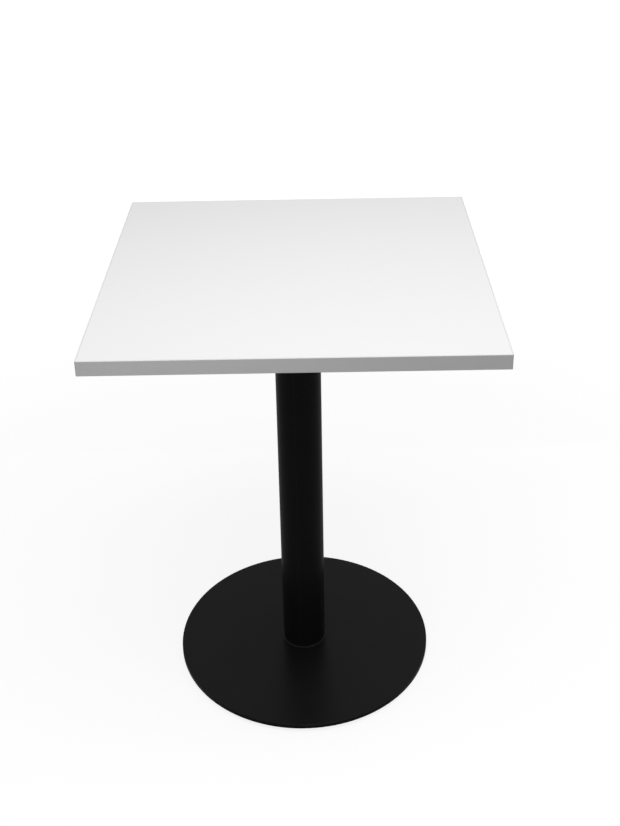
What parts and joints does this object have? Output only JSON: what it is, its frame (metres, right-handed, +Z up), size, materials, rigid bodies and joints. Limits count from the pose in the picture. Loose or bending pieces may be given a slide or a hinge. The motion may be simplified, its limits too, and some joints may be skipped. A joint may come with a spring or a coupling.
{
  "type": "bistro table",
  "caption": "Square white laminate table top on a round black steel column and a flat round base plate that stands on screw-in levelling glides.",
  "frame": {"origin": "on the floor, under the axis of the column, with the glides screwed fully in", "axes": "+Z up along the column's axis, the front edge of the top towards -Y, +X to the right seen from the front"},
  "size_m": [0.6, 0.6, 0.76],
  "materials": {
    "white_laminate": "satin melamine laminate, pressed with a very fine pearl texture",
    "backing_laminate": "matt balancing laminate on the underside",
    "white_edge_band": "satin extruded ABS edge band",
    "core_board": "raw particle board",
    "black_powder_coat": "satin powder coat with a fine texture",
    "black_nylon": "moulded nylon, matt",
    "zinc_steel": "bright zinc plate",
    "zinc_insert": "cast zinc alloy, passivated"
  },
  "bodies": {
    "table": {"core_board": "core_board", "top_laminate": "white_laminate", "underside_laminate": "backing_laminate", "edge_band_front": "white_edge_band", "edge_band_back": "white_edge_band", "edge_band_left": "white_edge_band", "edge_band_right": "white_edge_band", "threaded_inserts": "zinc_insert", "spider_washers": "zinc_steel", "spider_screws": "zinc_steel", "top_spider": "black_powder_coat", "arm_gussets": "black_powder_coat", "head_weld": "black_powder_coat", "column_tube": "black_powder_coat", "foot_weld": "black_powder_coat", "base_plate": "black_powder_coat"},
    "pad_1": {"glide_pad_1": "black_nylon"},
    "stud_1": {"glide_stud_1": "zinc_steel"},
    "pad_2": {"glide_pad_2": "black_nylon"},
    "stud_2": {"glide_stud_2": "zinc_steel"},
    "pad_3": {"glide_pad_3": "black_nylon"},
    "stud_3": {"glide_stud_3": "zinc_steel"},
    "pad_4": {"glide_pad_4": "black_nylon"},
    "stud_4": {"glide_stud_4": "zinc_steel"}
  },
  "joints": [
    {"name": "glide_1_travel", "type": "slide", "parent": "table", "child": "pad_1", "axis": [0, 0, -1], "range_m": [0, 0.003]},
    {"name": "glide_1_turn", "type": "hinge", "parent": "pad_1", "child": "stud_1", "pos_m": [-0.13789, -0.13789, 0.008], "axis": [0, 0, -1], "range_deg": [0, 864]},
    {"name": "glide_2_travel", "type": "slide", "parent": "table", "child": "pad_2", "axis": [0, 0, -1], "range_m": [0, 0.003]},
    {"name": "glide_2_turn", "type": "hinge", "parent": "pad_2", "child": "stud_2", "pos_m": [0.13789, -0.13789, 0.008], "axis": [0, 0, -1], "range_deg": [0, 864]},
    {"name": "glide_3_travel", "type": "slide", "parent": "table", "child": "pad_3", "axis": [0, 0, -1], "range_m": [0, 0.003]},
    {"name": "glide_3_turn", "type": "hinge", "parent": "pad_3", "child": "stud_3", "pos_m": [0.13789, 0.13789, 0.008], "axis": [0, 0, -1], "range_deg": [0, 864]},
    {"name": "glide_4_travel", "type": "slide", "parent": "table", "child": "pad_4", "axis": [0, 0, -1], "range_m": [0, 0.003]},
    {"name": "glide_4_turn", "type": "hinge", "parent": "pad_4", "child": "stud_4", "pos_m": [-0.13789, 0.13789, 0.008], "axis": [0, 0, -1], "range_deg": [0, 864]}
  ],
  "couplings": [
    {"joint": "glide_1_travel", "follows": "glide_1_turn", "m_per_rad": 0.00019894},
    {"joint": "glide_2_travel", "follows": "glide_2_turn", "m_per_rad": 0.00019894},
    {"joint": "glide_3_travel", "follows": "glide_3_turn", "m_per_rad": 0.00019894},
    {"joint": "glide_4_travel", "follows": "glide_4_turn", "m_per_rad": 0.00019894}
  ]
}
